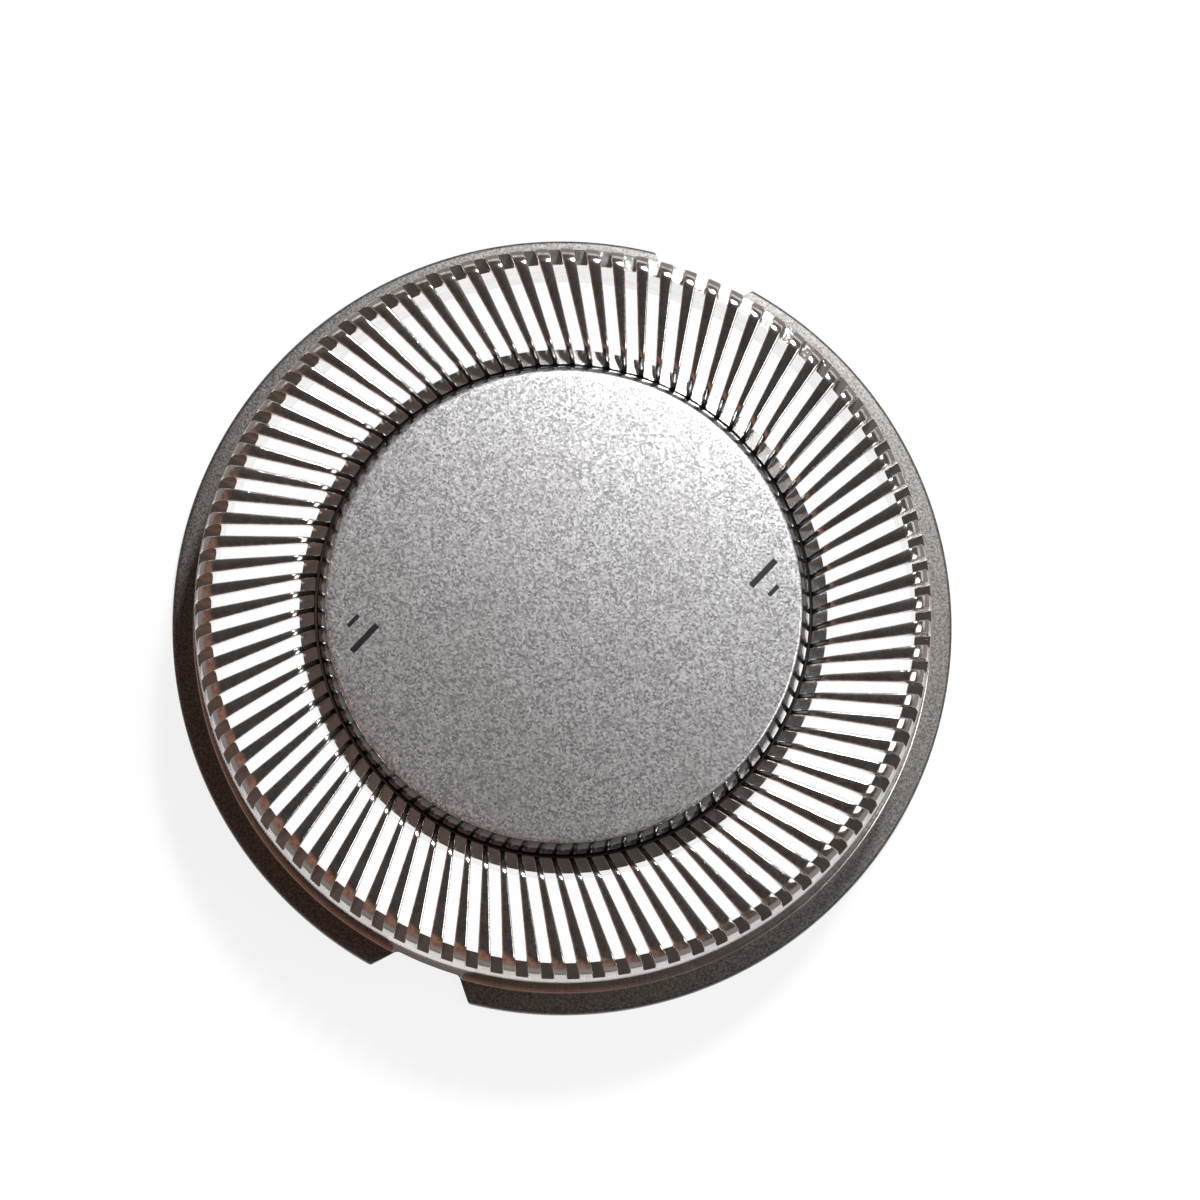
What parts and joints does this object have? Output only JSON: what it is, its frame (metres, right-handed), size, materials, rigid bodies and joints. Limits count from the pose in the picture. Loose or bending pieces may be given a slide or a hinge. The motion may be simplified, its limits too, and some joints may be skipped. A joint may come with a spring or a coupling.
{
  "type": "rotary shaver head guard",
  "caption": "Round slotted steel guard of a rotary shaver head: skewed slots round a track, a notched flange, an open ring channel below and a domed centre cap with a pin bore.",
  "frame": {"origin": "centre of the flange's flat underside, which the guard stands on", "axes": "+Z along the guard's axis, up through the slotted track and the cap's face; the flange's two notches lie on +Y and -Y"},
  "size_m": [0.0226, 0.0224, 0.0052],
  "materials": {
    "polished_steel": "polished track and wall, matt grey flange",
    "lacquered_cap": "silver lacquer with fine sparkle on the face, gloss black flank"
  },
  "bodies": {
    "root": {"guard": "polished_steel", "centre_cap": "lacquered_cap"}
  },
  "joints": []
}
